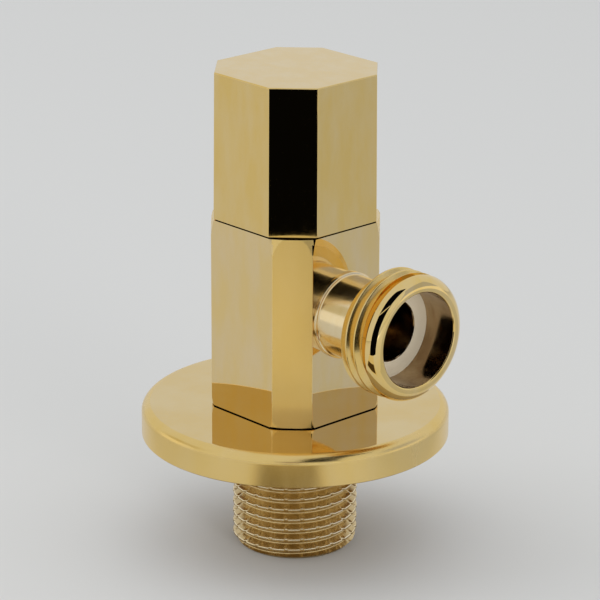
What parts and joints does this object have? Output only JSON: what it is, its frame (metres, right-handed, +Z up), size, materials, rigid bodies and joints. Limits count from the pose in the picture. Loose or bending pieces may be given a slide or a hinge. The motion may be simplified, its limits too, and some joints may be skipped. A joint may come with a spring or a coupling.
{
  "type": "angle stop valve",
  "caption": "Quarter-turn angle stop valve with a polished gold finish, square handle, sliding wall escutcheon, ceramic cartridge and threaded inlet and outlet.",
  "frame": {"origin": "centre of the inlet's end face, which the valve stands on when it is off the wall", "axes": "+Z up along the inlet and the handle's axis, +X along the outlet; the escutcheon's back faces -Z, towards the wall"},
  "size_m": [0.0547, 0.0514, 0.0822],
  "materials": {
    "polished_gold": "mirror-polished gold plating",
    "machined_brass": "as turned, bare",
    "stainless_steel": "bright stainless",
    "black_rubber": "matte moulded",
    "white_plastic": "matte acetal",
    "white_ceramic": "lapped alumina"
  },
  "bodies": {
    "valve": {"valve_body": "polished_gold", "outlet_nipple": "polished_gold", "outlet_nipple_seal": "black_rubber", "inlet_strainer": "stainless_steel", "seat_seal": "black_rubber", "seal_support_ring": "white_plastic", "fixed_disc": "white_ceramic", "cartridge_housing": "machined_brass", "cartridge_o_ring": "black_rubber"},
    "handle": {"handle_shell": "polished_gold", "handle_insert": "white_plastic", "handle_grub_screw": "stainless_steel", "spindle": "machined_brass", "spindle_clip": "stainless_steel", "spindle_friction_washer": "white_plastic", "spindle_o_ring_lower": "black_rubber", "spindle_o_ring_upper": "black_rubber", "moving_disc": "white_ceramic"},
    "grip_ring": {"escutcheon_grip_ring": "black_rubber"},
    "escutcheon": {"escutcheon": "polished_gold"}
  },
  "joints": [
    {"name": "handle_turn", "type": "hinge", "parent": "valve", "child": "handle", "pos_m": [0, 0, 0.055], "axis": [0, 0, 1], "range_deg": [0, 90]},
    {"name": "escutcheon_slide", "type": "slide", "parent": "valve", "child": "grip_ring", "axis": [0, 0, 1], "range_m": [-0.012, 0]},
    {"name": "escutcheon_spin", "type": "hinge", "parent": "grip_ring", "child": "escutcheon", "pos_m": [0, 0, 0.024], "axis": [0, 0, 1], "continuous": true}
  ]
}
